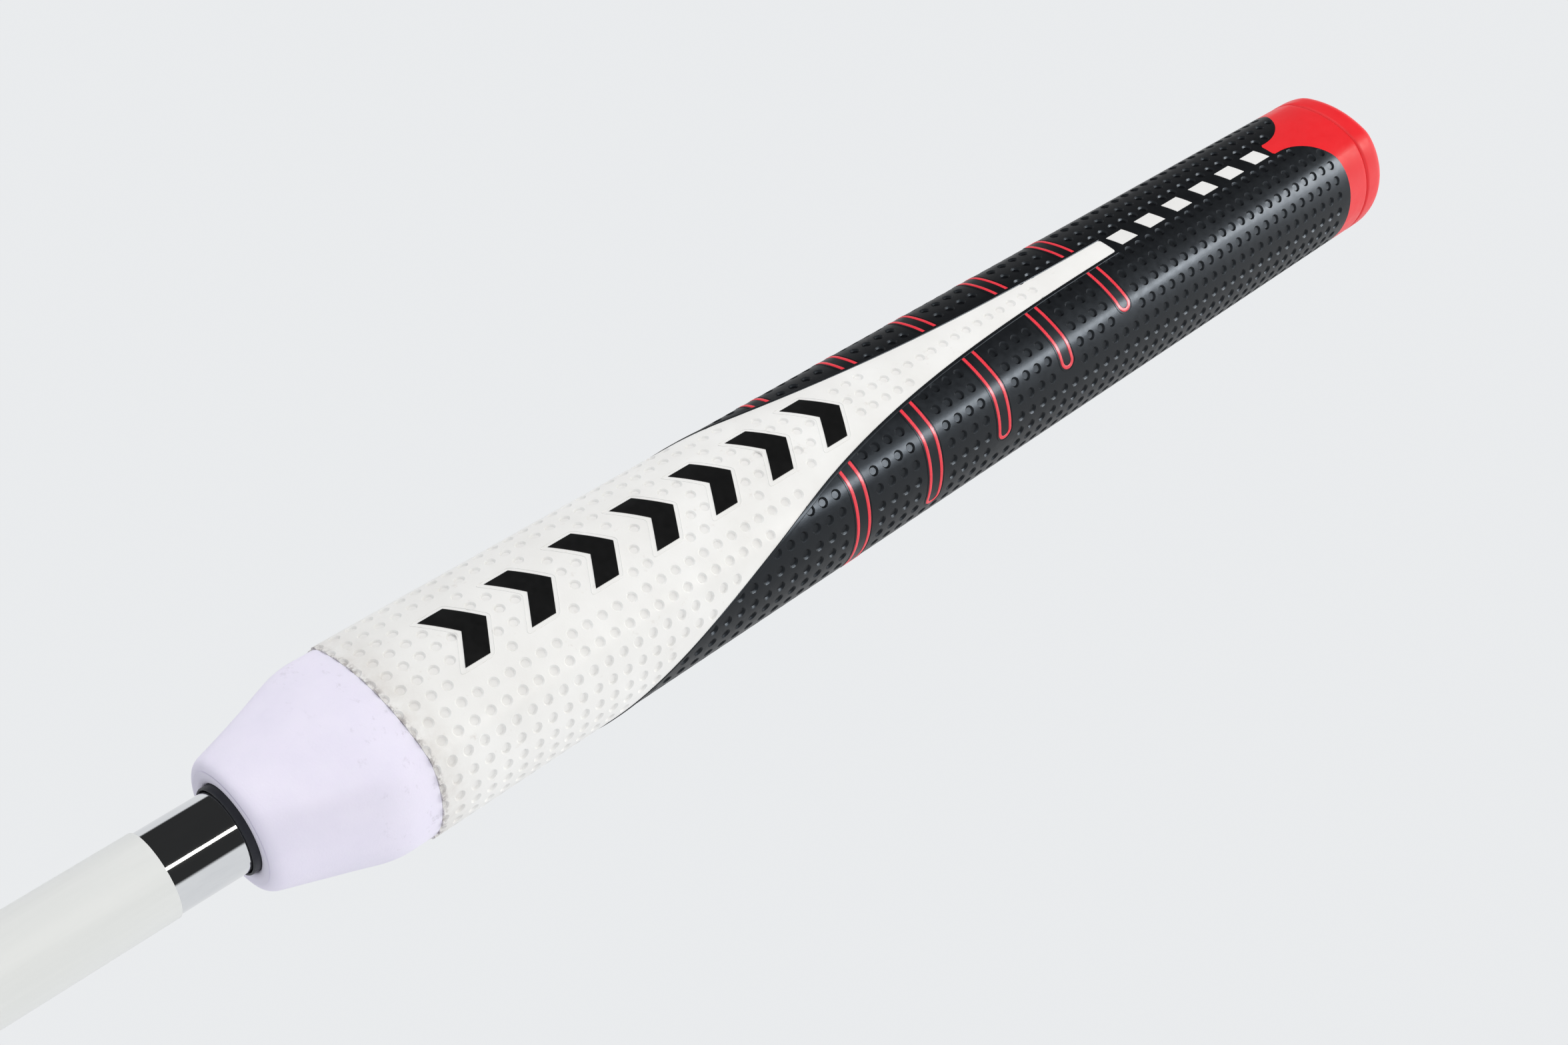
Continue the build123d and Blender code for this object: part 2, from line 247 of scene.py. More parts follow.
def is_plain(arc, height):
    """True where a dimple would touch an edge, a bar, a chevron or a tick."""
    size = abs(arc)
    clear = DIMPLE_RADIUS + MARK_LAND
    on_black = bool(beyond_panel(np.float64(arc), np.float64(height)) > 0)
    if edge_distance(arc, height) < DIMPLE_RADIUS + EDGE_LAND[on_black]:
        return True
    if edge_distance(arc, height, beyond_skirt) < DIMPLE_RADIUS + CAP_LAND:
        return True
    if on_black:
        for number, end in enumerate(BAR_ENDS):
            beside = abs(height - bar_height(number)) < BAR_LINE_SPACING / 2 + BAR_SIDE_LAND
            if beside and size < end + BAR_LINE_SPACING / 2 + clear:
                return True
        return size < TICK_HALF_WIDTH + clear and height > PANEL_TIP - clear
    if height > PANEL_TIP - PLAIN_TIP:
        return True
    for foot in CHEVRON_FEET:
        lower = foot + CHEVRON_SWEEP * (1 - size / CHEVRON_HALF_WIDTH)
        beside = size < CHEVRON_HALF_WIDTH + clear
        if beside and lower - 1.3 * clear < height < lower + CHEVRON_BAND + 1.3 * clear:
            return True
    return False


# ------------------------------------------------------------------ skin meshes
def skin_cells(first_height, last_height, anchor):
    """The whole skin as flat cells: points (row, height, lift) and faces, a dimple in each cell."""
    points, faces, lattice = [], [], {}

    def corner(i, k):
        if (i, k) not in lattice:
            lattice[i, k] = len(points)
            row = i / CELL_STEPS
            sink = -SEAM_SINK if abs(row) > ROWS + 0.5 else 0.0
            points.append((row, anchor + k * STEP_PITCH / CELL_STEPS, sink))
        return lattice[i, k]

    steps = range(math.floor((first_height - anchor) / STEP_PITCH),
                  math.ceil((last_height - anchor) / STEP_PITCH))
    for step in steps:
        height = anchor + (step + 0.5) * STEP_PITCH
        pitch = (float(half_round(height)) - ROWS_EVEN * ROW_PITCH) / (SEAM_EDGE - ROWS_EVEN)
        for row in range(-ROWS, ROWS + 1):
            i0, k0 = int((row - 0.5) * CELL_STEPS), step * CELL_STEPS
            arc = float(row_arc(np.float64(row), height))
            if is_plain(arc, height):
                for i in range(i0, i0 + CELL_STEPS):
                    for k in range(k0, k0 + CELL_STEPS):
                        faces.append([corner(i, k), corner(i + 1, k),
                                      corner(i + 1, k + 1), corner(i, k + 1)])
                continue
            rim = [corner(i0 + a, k0) for a in range(CELL_STEPS)]
            rim += [corner(i0 + CELL_STEPS, k0 + a) for a in range(CELL_STEPS)]
            rim += [corner(i0 + CELL_STEPS - a, k0 + CELL_STEPS) for a in range(CELL_STEPS)]
            rim += [corner(i0, k0 + CELL_STEPS - a) for a in range(CELL_STEPS)]
            around = ROW_PITCH if abs(row) < ROWS_EVEN else pitch
            for radius, depth in DIMPLE_RING:
                ring = []
                for number in range(4 * CELL_STEPS):
                    turn = math.radians(225 + 360 * number / (4 * CELL_STEPS))
                    ring.append(len(points))
                    points.append((row + radius * math.cos(turn) / around,
                                   height + radius * math.sin(turn), -DIMPLE_DEPTH * depth))
                for a in range(len(rim)):
                    b = (a + 1) % len(rim)
                    faces.append([rim[a], rim[b], ring[b], ring[a]])
                rim = ring
            faces.append(rim)
    for side in (-1, 1):
        i = side * int((ROWS + 0.5) * CELL_STEPS)
        seam = side * int(round(SEAM_EDGE * CELL_STEPS))
        for k in range(steps[0] * CELL_STEPS, (steps[-1] + 1) * CELL_STEPS):
            strip = [corner(i, k), corner(i, k + 1), corner(seam, k + 1), corner(seam, k)]
            faces.append(strip if side < 0 else strip[::-1])
    return np.array(points), faces


def keep_where(points, faces, value):
    """Cuts a mesh along value(points) = 0 and keeps the positive side."""
    amount = value(points)
    inside = amount > 0
    edges = {}
    for face in faces:
        for a, b in zip(face, face[1:] + face[:1]):
            if inside[a] != inside[b]:
                edges.setdefault((min(a, b), max(a, b)), len(edges))
    ends = np.array(list(edges), dtype=int).reshape(-1, 2)
    low, high = np.zeros(len(ends)), np.ones(len(ends))
    start, way = points[ends[:, 0]], points[ends[:, 1]] - points[ends[:, 0]]
    for _ in range(24):
        middle = (low + high) / 2
        same = (value(start + way * middle[:, None]) > 0) == inside[ends[:, 0]]
        low, high = np.where(same, middle, low), np.where(same, high, middle)
    joined = np.concatenate([points, start + way * ((low + high) / 2)[:, None]])
    kept = []
    for face in faces:
        if all(inside[v] for v in face):
            kept.append(face)
        elif any(inside[v] for v in face):
            cut = []
            for a, b in zip(face, face[1:] + face[:1]):
                if inside[a]:
                    cut.append(a)
                if inside[a] != inside[b]:
                    cut.append(len(points) + edges[min(a, b), max(a, b)])
            if len(cut) > 2:
                kept.append(cut)
    used = sorted({v for face in kept for v in face})
    number = {v: i for i, v in enumerate(used)}
    return joined[used], [[number[v] for v in face] for face in kept]


def with_rim(points, faces, depth):
    """Turns the mesh's open edges in towards the core, as the cut thickness of the skin."""
    count = {}
    for face in faces:
        for a, b in zip(face, face[1:] + face[:1]):
            count[a, b] = count.get((a, b), 0) + 1
    open_edges = [(a, b) for a, b in count if (b, a) not in count]
    inner = {}
    extra = []
    for a, b in open_edges:
        for v in (a, b):
            if v not in inner:
                inner[v] = len(points) + len(extra)
                extra.append((points[v][0], points[v][1], -depth))
    walls = [[b, a, inner[a], inner[b]] for a, b in open_edges]
    return np.concatenate([points, np.array(extra).reshape(-1, 3)]), faces + walls


def skin_points(points):
    """From (row, height, lift) to the frame."""
    return place(row_arc(points[:, 0], points[:, 1]), points[:, 1], points[:, 2])


def land_normals(points):
    """The smooth surface's own normal at each point of the land, and nothing in the dimples."""
    arc, height, step = row_arc(points[:, 0], points[:, 1]), points[:, 1], 0.01
    around = place(arc + step, height) - place(arc - step, height)
    along = place(arc, height + step) - place(arc, height - step)
    normals = np.cross(around, along)
    normals /= np.linalg.norm(normals, axis=1)[:, None]
    normals[np.abs(points[:, 2]) > 0.001] = np.nan
    return normals


# ------------------------------------------------------------------ ribbons laid on the skin
def ribbon(path, profile, closed=False):
    """A strip along a path of (arc, height) points, with a profile of (across, lift) points."""
    path, profile = np.array(path, dtype=float), np.array(profile, dtype=float)
    if closed:
        ahead, behind = np.roll(path, -1, axis=0), np.roll(path, 1, axis=0)
    else:
        ahead, behind = np.vstack([path[1:], path[-1:]]), np.vstack([path[:1], path[:-1]])
    way = ahead - behind
    way /= np.linalg.norm(way, axis=1)[:, None]
    across = np.stack([way[:, 1], -way[:, 0]], axis=1)
    grid = path[:, None, :] + across[:, None, :] * profile[None, :, :1]
    lift = np.broadcast_to(profile[:, 1], grid.shape[:2])
    points = place(grid[..., 0].ravel(), grid[..., 1].ravel(), lift.ravel())
    wide, long = len(profile), len(path)
    faces = []
    for i in range(long if closed else long - 1):
        j = (i + 1) % long
        for p in range(wide - 1):
            faces.append([i * wide + p, i * wide + p + 1, j * wide + p + 1, j * wide + p])
        faces.append([i * wide + wide - 1, i * wide, j * wide, j * wide + wide - 1])
    if not closed:
        faces += [list(range(wide))[::-1], [(long - 1) * wide + p for p in range(wide)]]
    return points, faces


def bead(width, height, sink=0.3, soft=0.3, aside=0.0):
    """Profile of a low flat bead with rounded shoulders, its middle aside from the path."""
    half = width / 2
    side = [(half, -sink), (half, height * 0.35), (half - soft * width * 0.4, height * 0.9),
            (half - soft * width, height)]
    return ([(aside - across, lift) for across, lift in side]
            + [(aside + across, lift) for across, lift in side[::-1]])


def lip(width, height, sink=0.2):
    """Profile of a thin raised line."""
    return [(width / 2, -sink), (width / 5, height), (-width / 5, height), (-width / 2, -sink)]


def join(parts):
    """One mesh from several (points, faces)."""
    points, faces, start = [], [], 0
    for some, rest in parts:
        points.append(some)
        faces += [[v + start for v in face] for face in rest]
        start += len(some)
    return np.concatenate(points), faces


def bezier(a, b, c, t):
    return (1 - t) ** 2 * a + 2 * t * (1 - t) * b + t**2 * c


def rounded(corners, radius, step=0.5):
    """A closed path through corners, each turned on a curve, with even steps between."""
    corners = [np.array(c, dtype=float) for c in corners]
    path = []
    for i, here in enumerate(corners):
        before, after = corners[i - 1], corners[(i + 1) % len(corners)]
        near = here + radius * (before - here) / np.linalg.norm(before - here)
        far = here + radius * (after - here) / np.linalg.norm(after - here)
        path += [bezier(near, here, far, t) for t in np.linspace(0, 1, 7)]
    full = []
    for a, b in zip(path, path[1:] + path[:1]):
        pieces = max(1, int(np.linalg.norm(b - a) / step))
        full += [a + (b - a) * i / pieces for i in range(pieces)]
    return full


def panel_path():
    """The white panel's edge from the back seam, round its tip, to the back seam."""
    low, high = 2 * math.degrees(math.asin(PANEL_EDGE_NARROW)) + 0.01, 60.0
    for _ in range(50):
        middle = (low + high) / 2
        low, high = (middle, high) if panel_edge(middle) > PANEL_TIP else (low, middle)
    angles = 180 + (high - 180) * np.linspace(0, 1, 200) ** 0.8
    side = []
    for angle in angles:
        height = float(panel_edge(angle))
        side.append((arc_at(angle, height), height))
    side[-1] = (side[-1][0], PANEL_TIP)
    half = side[-1][0]
    tip = [(half * t, PANEL_TIP) for t in np.linspace(1, -1, 12)[1:-1]]
    return side + tip + [(-arc, height) for arc, height in side[::-1]]


def bar_path(number, side, offset=0.0):
    """Out along one line of a bar, round its end and back along the other."""
    middle, half = bar_height(number), BAR_LINE_SPACING / 2 + offset
    end = BAR_ENDS[number]
    lower, upper = middle - half, middle + half

    def line(height):
        """From just clear of the panel's edge to the bar's round end, as arc lengths."""
        arcs = np.linspace(0.5, end, 400)
        start = arcs[beyond_panel(arcs, np.full(400, height)) > 0][0] + 0.15
        count = max(4, int((end - start) / 0.8))
        return [start + (end - start) * i / count for i in range(count)]

    path = [(arc, lower) for arc in line(lower)]
    path += [(end + half * math.sin(t), middle - half * math.cos(t)) for t in np.linspace(0, math.pi, 19)]
    path += [(arc, upper) for arc in line(upper)[::-1]]
    return [(side * arc, height) for arc, height in path]


# ------------------------------------------------------------------ round pieces
def ring_points(outline, counts=(28, 18, 96)):
    """Even points round a section, as (aside, forward): crown, corner, back, corner."""
    aside, forward, crown_end, back_start = blend(outline)
    back, front, crown, corner = outline
    first, second = crown * crown_end, corner * (back_start - crown_end)
    third = back * (math.pi - back_start)
    arcs = np.concatenate([
        np.linspace(0, first, counts[0] // 2, endpoint=False),
        first + np.linspace(0, second, counts[1], endpoint=False),
        first + second + np.linspace(0, third, counts[2] // 2, endpoint=False),
        [first + second + third]])
    arcs = np.concatenate([arcs, -arcs[-2:0:-1]])
    x, n, turn = on_section(arcs, tuple(np.full(len(arcs), float(v)) for v in outline))
    return np.stack([x, n], axis=1), np.stack([np.sin(turn), np.cos(turn)], axis=1)


def loft_mesh(rings, heights, close=True):
    """A skin through rings of (aside, forward) points, each at its own height or heights."""
    count = len(rings[0])
    points = np.concatenate([
        np.stack([ring[:, 0], -ring[:, 1], MOUTH + np.broadcast_to(height, count)], axis=1)
        for ring, height in zip(rings, heights)])
    faces = []
    levels = len(rings) if close else len(rings) - 1
    for level in range(levels):
        below, above = level * count, (level + 1) % len(rings) * count
        for i in range(count):
            j = (i + 1) % count
            faces.append([below + i, below + j, above + j, above + i])
    return points, faces


def inset_ring(height, inset):
    """The section at a height, as ring points this far inside the skin's surface."""
    return ring_points(tuple(size - inset for size in section(height)))[0]


def foam_mesh():
    """The bare nose with soft edges, the core under the skins and the bore, as one closed skin."""
    small, _ = ring_points(NOSE_OUTLINE)
    large = inset_ring(NOSE_SHOULDER, SKIN_PROUD)
    bore = small / np.linalg.norm(small, axis=1)[:, None] * FOAM_BORE
    under_skin = SKIN_WALL + GAP

    def cone(height):
        return small + (large - small) * height / NOSE_SHOULDER

    rings, heights = [bore, bore, bore * 1.02], [CORE_TOP, 0.5, 0.12]
    face_width = np.linalg.norm(small - bore, axis=1)[:, None]
    for share in (0.12, 0.35, 0.6):
        rings.append(bore + (small - bore) * share)
        heights.append(-0.05 * math.sin(share * math.pi))
    flat_end = small - (small - bore) / face_width * NOSE_EDGE
    for t in np.linspace(0, 1, 8):
        rings.append(bezier(flat_end, small, cone(NOSE_EDGE), t))
        heights.append(float(bezier(0, 0, NOSE_EDGE, t)))
    for height in np.linspace(NOSE_EDGE, NOSE_SHOULDER - NOSE_SOFT, 14)[1:-1]:
        rings.append(cone(height))
        heights.append(height)
    top = NOSE_SHOULDER + NOSE_SOFT
    soft_end = inset_ring(top, SKIN_PROUD)
    for t in np.linspace(0, 1, 12):
        rings.append(bezier(cone(NOSE_SHOULDER - NOSE_SOFT), cone(NOSE_SHOULDER), soft_end, t))
        heights.append(float(bezier(NOSE_SHOULDER - NOSE_SOFT, NOSE_SHOULDER, top, t)))
    for height in np.linspace(top, SKIN_START - 0.05, 6)[1:]:
        rings.append(inset_ring(height, SKIN_PROUD))
        heights.append(height)
    for height in (SKIN_START - GAP, CORE_TOP / 2, CORE_TOP):
        rings.append(inset_ring(height, under_skin))
        heights.append(height)
    for level in range(3, len(rings) - 3):
        ring, height = rings[level], heights[level]
        turn = np.arctan2(ring[:, 0], ring[:, 1])
        wave = (np.sin(3 * turn + height / 5.1) + 0.7 * np.sin(5 * turn - height / 3.7 + 1.3)
                + 0.5 * np.sin(9 * turn + height / 2.3 + 0.4))
        rings[level] = ring * (1 - NOSE_WAVE * (wave + 2.2)[:, None])
    return loft_mesh(rings, heights)


def cap_mesh():
    """Skirt and tongue, groove, rounded end and vent; the skirt's edge is cut and turned in."""
    groove = GRIP_LENGTH - CAP_GROOVE_FROM_END
    profile = [(height, 0.0) for height in np.linspace(CAP_TONGUE_TIP - 1.5, groove - 0.75, 24)]
    profile += [(groove - 0.5, 0.02), (groove - 0.34, 0.1), (groove - 0.2, 0.32), (groove - 0.08, 0.48),
                (groove + 0.08, 0.48), (groove + 0.2, 0.3), (groove + 0.36, 0.06), (groove + 0.55, -0.02),
                (groove + 0.9, -0.05)]
    for turn in np.linspace(0, math.pi / 2, 12):
        profile.append((GRIP_LENGTH - CAP_END_ROUND * (1 - math.sin(turn)),
                        CAP_END_ROUND * (1 - math.cos(turn)) - 0.03 * math.cos(turn)))
    rings, heights = [], []
    for height, inset in profile:
        ring, way = ring_points(section(height))
        rings.append(ring - way * inset)
        heights.append(height)
    edge = rings[-1]
    inner = edge / np.linalg.norm(edge, axis=1)[:, None] * VENT_RADIUS
    for share in (0.25, 0.5, 0.75, 0.93):
        rings.append(edge + (inner - edge) * share)
        heights.append(GRIP_LENGTH)
    rings += [inner * 1.06, inner, inner]
    heights += [GRIP_LENGTH - 0.05, GRIP_LENGTH - 0.3, GRIP_LENGTH - CAP_END_WALL]
    points, faces = loft_mesh(rings, heights, close=False)

    points, faces = keep_where(
        points, faces, lambda p: beyond_cap_edge(p[:, 0], -p[:, 1], p[:, 2] - MOUTH))
    directed = {(a, b) for face in faces for a, b in zip(face, face[1:] + face[:1])}
    walls, extra, inner_of = [], [], {}
    for a, b in directed:
        if (b, a) in directed or min(points[a][2], points[b][2]) > MOUTH + CAP_SKIRT + 1:
            continue
        for v in (a, b):
            if v not in inner_of:
                inner_of[v] = len(points) + len(extra)
                extra.append(points[v] * (0.9, 0.9, 1.0))
        walls.append([b, a, inner_of[a], inner_of[b]])
    return np.concatenate([points, np.array(extra)]), faces + walls


def lathe(profile, count=96):
    """A closed ring of (radius, frame height) points turned about the axis."""
    turns = np.linspace(0, 2 * math.pi, count, endpoint=False)
    points = np.array([(r * math.sin(t), -r * math.cos(t), z) for r, z in profile for t in turns])
    faces = []
    for level in range(len(profile)):
        below, above = level * count, (level + 1) % len(profile) * count
        for i in range(count):
            j = (i + 1) % count
            faces.append([below + i, below + j, above + j, above + i])
    return points, faces


# ------------------------------------------------------------------ materials
class Look:
    """A Principled material with a few noise-driven inputs, in object coordinates."""

    def __init__(self, name, rough, specular=0.5, metallic=0.0, coat=0.0, sheen=0.0):
        self.material = bpy.data.materials.new(name)
        self.material.use_nodes = True
        self.tree = self.material.node_tree
        self.shader = self.tree.nodes["Principled BSDF"]
        self.shader.inputs["Roughness"].default_value = rough
        self.shader.inputs["Specular IOR Level"].default_value = specular
        self.shader.inputs["Metallic"].default_value = metallic
        self.shader.inputs["Coat Weight"].default_value = coat
        self.shader.inputs["Sheen Weight"].default_value = sheen
        self.where = self.add("ShaderNodeTexCoord").outputs["Object"]

    def add(self, kind, **settings):
        node = self.tree.nodes.new(kind)
        for key, value in settings.items():
            setattr(node, key, value)
        return node

    def link(self, a, b):
        self.tree.links.new(a, b)

    def noise(self, size_mm, detail=3.0, rough=0.55, stretch=(1, 1, 1)):
        mapping = self.add("ShaderNodeMapping")
        mapping.inputs["Scale"].default_value = stretch
        self.link(self.where, mapping.inputs["Vector"])
        node = self.add("ShaderNodeTexNoise")
        node.inputs["Scale"].default_value = 1 / (size_mm * MM)
        node.inputs["Detail"].default_value = detail
        node.inputs["Roughness"].default_value = rough
        self.link(mapping.outputs["Vector"], node.inputs["Vector"])
        return node.outputs["Fac"]

    def depth(self):
        node = self.add("ShaderNodeAttribute", attribute_name="depth")
        return node.outputs["Fac"]

    def height_fade(self, none_at, full_at):
        """0 at one height above the mouth and 1 at another, in mm."""
        split = self.add("ShaderNodeSeparateXYZ")
        self.link(self.where, split.inputs["Vector"])
        node = self.add("ShaderNodeMapRange")
        node.inputs["From Min"].default_value = (MOUTH + none_at) * MM
        node.inputs["From Max"].default_value = (MOUTH + full_at) * MM
        self.link(split.outputs["Z"], node.inputs["Value"])
        return node.outputs["Result"]

    def spots(self, value, low, high):
        """0 below low, 1 above high: a few soft-edged spots out of a noise."""
        node = self.add("ShaderNodeValToRGB")
        node.color_ramp.elements[0].position = low
        node.color_ramp.elements[1].position = high
        self.link(value, node.inputs["Fac"])
        return node.outputs["Color"]

    def mix(self, amount, a, b):
        node = self.add("ShaderNodeMix", data_type="RGBA")
        for key, value in (("Factor", amount), ("A", a), ("B", b)):
            socket = node.inputs[key]
            if isinstance(value, (int, float)):
                socket.default_value = value
            elif isinstance(value, tuple):
                socket.default_value = (*value, 1)
            else:
                self.link(value, socket)
        return node.outputs["Result"]

    def math(self, operation, a, b):
        node = self.add("ShaderNodeMath", operation=operation)
        for socket, value in zip(node.inputs, (a, b)):
            if isinstance(value, (int, float)):
                socket.default_value = value
            else:
                self.link(value, socket)
        return node.outputs["Value"]

    def spread(self, value, low, high):
        node = self.add("ShaderNodeMapRange")
        node.inputs["From Min"].default_value = 0.3
        node.inputs["From Max"].default_value = 0.7
        node.inputs["To Min"].default_value = low
        node.inputs["To Max"].default_value = high
        self.link(value, node.inputs["Value"])
        return node.outputs["Result"]

    def colour(self, socket):
        self.link(socket, self.shader.inputs["Base Color"])

    def roughness(self, socket):
        self.link(socket, self.shader.inputs["Roughness"])

    def bump(self, *layers):
        """Layers of (height value, depth in mm), one over another."""
        below = None
        for value, depth in layers:
            node = self.add("ShaderNodeBump")
            node.inputs["Distance"].default_value = depth * MM
            self.link(value, node.inputs["Height"])
            if below:
                self.link(below, node.inputs["Normal"])
            below = node.outputs["Normal"]
        self.link(below, self.shader.inputs["Normal"])


def rubber(name, base, dark, rough, specular=0.5, painted_dimple_shade=0.5, coat=0.0):
    """Moulded rubber: faint colour drift, painted shade darkening the dimples by their depth, fine matte
    grain.
    """
    look = Look(name, rough[0], specular, coat=coat)
    look.shader.inputs["Coat Roughness"].default_value = 0.2
    drift = look.noise(9.0, 4.0)
    pores = look.noise(0.25, 2.0)
    colour = look.mix(look.spread(drift, 0.0, 0.35), base, dark)
    # painted shade: each dimple is darkened towards the dark tone by its depth
    colour = look.mix(look.math("MULTIPLY", look.depth(), painted_dimple_shade), colour, dark)
    look.colour(colour)
    look.roughness(look.spread(look.noise(1.6, 3.0), *rough))
    look.bump((drift, 0.03), (pores, 0.012))
    return look


def white_rubber():
    """The white skin: clean on the front, with painted shade greying the dimples, and grubby near the
    mouth.
    """
    look = Look("white_skin", 0.42, 0.45)
    drift = look.noise(14.0, 5.0)
    clean = look.mix(look.spread(drift, 0.0, 1.0), (0.86, 0.855, 0.845), (0.79, 0.78, 0.765))
    specks = look.spots(look.noise(2.2, 6.0, 0.7), 0.62, 0.78)
    worn = look.mix(look.math("MULTIPLY", specks, 0.35), clean, (0.46, 0.38, 0.32))
    patches = look.noise(3.0, 5.0, 0.65)
    near = look.height_fade(SKIN_START + 7.0, SKIN_START)
    grubby = look.math("MULTIPLY", near, look.spread(patches, 0.0, 0.7))
    worn = look.mix(grubby, worn, (0.62, 0.58, 0.55))
    brink = look.height_fade(SKIN_START + 1.1, SKIN_START + 0.1)
    grime = look.math("MULTIPLY", look.spots(look.noise(1.5, 5.0, 0.7), 0.46, 0.60), 0.75)
    worn = look.mix(look.math("MULTIPLY", brink, grime), worn, (0.24, 0.21, 0.21))
    # painted shade: the dimples are greyed by their depth
    look.colour(look.mix(look.math("MULTIPLY", look.depth(), 0.1), worn, (0.60, 0.57, 0.56)))
    look.roughness(look.spread(look.noise(1.8, 3.0), 0.34, 0.52))
    look.bump((drift, 0.04), (look.noise(0.3, 2.0), 0.012))
    return look


def foam_look():
    """Lavender foam, matte and slightly let through by light, smudged near the skins."""
    look = Look("foam", 0.85, 0.25, sheen=0.15)
    drift = look.noise(11.0, 4.0)
    base = look.mix(look.spread(drift, 0.0, 1.0), (0.85, 0.81, 0.94), (0.80, 0.765, 0.90))
    smudge = look.spots(look.noise(3.0, 6.0, 0.72, (1, 1, 1.6)), 0.58, 0.72)
    near = look.math("MULTIPLY", look.height_fade(SKIN_START - 16.0, SKIN_START - 1.0), 0.55)
    look.colour(look.mix(look.math("MULTIPLY", smudge, near), base, (0.46, 0.43, 0.50)))
    look.roughness(look.spread(look.noise(0.8, 2.0), 0.78, 0.92))
    look.bump((drift, 0.06), (look.noise(0.35, 3.0, 0.7), 0.03))
    look.shader.inputs["Subsurface Weight"].default_value = 0.12
    look.shader.inputs["Subsurface Scale"].default_value = 1.5 * MM
    look.shader.inputs["Subsurface Radius"].default_value = (1.0, 0.8, 1.0)
    return look


def chrome_look():
    """Polished chrome with a faint haze drawn out along the shaft."""
    look = Look("chrome_plate", 0.05, metallic=1.0)
    haze = look.noise(2.5, 4.0, 0.6, (1, 1, 0.25))
    look.colour(look.mix(look.spread(haze, 0.0, 1.0), (0.82, 0.83, 0.84), (0.76, 0.77, 0.79)))
    look.roughness(look.spread(haze, 0.03, 0.085))
    look.bump((look.noise(6.0, 2.0, 0.5, (1, 1, 0.1)), 0.004))
    return look


def sleeve_look():
    """White film with faint lengthwise streaks."""
    look = Look("white_film", 0.4, 0.4)
    streak = look.noise(5.0, 4.0, 0.6, (1, 1, 0.06))
    look.colour(look.mix(look.spread(streak, 0.0, 1.0), (0.79, 0.795, 0.785), (0.73, 0.74, 0.73)))
    look.roughness(look.spread(look.noise(1.2, 3.0), 0.36, 0.52))
    look.bump((streak, 0.03), (look.noise(0.4, 2.0), 0.006))
    return look


def tape_look():
    """Creped double-sided tape, out of sight between the shaft and the liner."""
    look = Look("tape", 0.8, 0.3)
    crepe = look.noise(0.7, 3.0, 0.6, (1, 1, 6))
    look.colour(look.mix(look.spread(crepe, 0.0, 1.0), (0.72, 0.66, 0.50), (0.60, 0.54, 0.40)))
    look.roughness(look.spread(crepe, 0.7, 0.9))
    look.bump((crepe, 0.03))
    return look


# ------------------------------------------------------------------ pieces
def piece(name, mesh_data, look, nodes, depth=None):
    """A smooth-shaded object from points in mm, riding on the part and standing for its nodes."""
    points, faces = mesh_data
    mesh = bpy.data.meshes.new(name)
    mesh.from_pydata((points * MM).tolist(), [], faces)
    mesh.validate()
    mesh.shade_smooth()
    if depth is not None:
        values = np.zeros(len(mesh.vertices), dtype=np.float32)
        values[:len(depth)] = depth[:len(values)]
        mesh.attributes.new("depth", "FLOAT", "POINT").data.foreach_set("value", values)
    obj = bpy.data.objects.new(name, mesh)
    bpy.context.scene.collection.objects.link(obj)
    mesh.materials.append(look.material)
    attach(obj, "root")
    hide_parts(*nodes)
    return obj


def set_normals(obj, normals):
    """Gives every face that lies wholly on the land the land's own normals."""
    mesh = obj.data
    full = np.full((len(mesh.vertices), 3), np.nan)
    full[:len(normals)] = normals
    corners = np.array([loop.vertex_index for loop in mesh.loops])
    faces = np.repeat(np.arange(len(mesh.polygons)), [len(face.vertices) for face in mesh.polygons])
    in_dimple = np.bincount(faces, np.isnan(full[corners, 0]).astype(float)) > 0
    final = np.array([normal.vector for normal in mesh.corner_normals])
    land = ~in_dimple[faces]
    final[land] = full[corners[land]]
    mesh.normals_split_custom_set(final.tolist())


def sharpen(obj, degrees):
    """Keeps shading creased where faces turn by more than an angle."""
    obj.data.set_sharp_from_angle(angle=math.radians(degrees))


looks = {
    "white_skin": white_rubber(),
    "black_skin": rubber("black_skin", (0.0042, 0.0046, 0.0056), (0.0020, 0.0021, 0.0026), (0.38, 0.47),
                         specular=0.27, coat=0.05),
    "red_rubber": rubber("red_rubber", (0.80, 0.021, 0.028), (0.64, 0.014, 0.018), (0.34, 0.46), coat=0.04),
    "red_inlay": rubber("red_inlay", (0.80, 0.026, 0.048), (0.66, 0.02, 0.035), (0.32, 0.45)),
    "liner_rubber": rubber("liner_rubber", (0.006, 0.007, 0.014), (0.003, 0.0035, 0.007), (0.4, 0.6)),
    "black_inlay": rubber("black_inlay", (0.0045, 0.0045, 0.0048), (0.003, 0.003, 0.003), (0.34, 0.5)),
    "white_inlay": rubber("white_inlay", (0.76, 0.755, 0.75), (0.72, 0.71, 0.70), (0.4, 0.55), painted_dimple_shade=0.0),
    "foam": foam_look(),
    "chrome_plate": chrome_look(),
    "white_film": sleeve_look(),
    "tape": tape_look(),
}
SHEEN_TINT = (0.80, 0.90, 1.0, 1)
looks["black_skin"].shader.inputs["Specular Tint"].default_value = SHEEN_TINT

slots = {entry["node"]: entry["material_slot"] for entry in frame["record"]["subparts"]}
for node, obj in frame["nodes"].items():
    for index in range(len(obj.material_slots)):
        obj.material_slots[index].material = looks[slots[node]].material

cells, cell_faces = skin_cells(SKIN_START, CAP_SKIRT, bar_height(0))
skin, skin_faces = keep_where(cells, cell_faces, lambda p: p[:, 1] - SKIN_START)


def panel_side(points):
    return beyond_panel(row_arc(points[:, 0], points[:, 1]), points[:, 1])


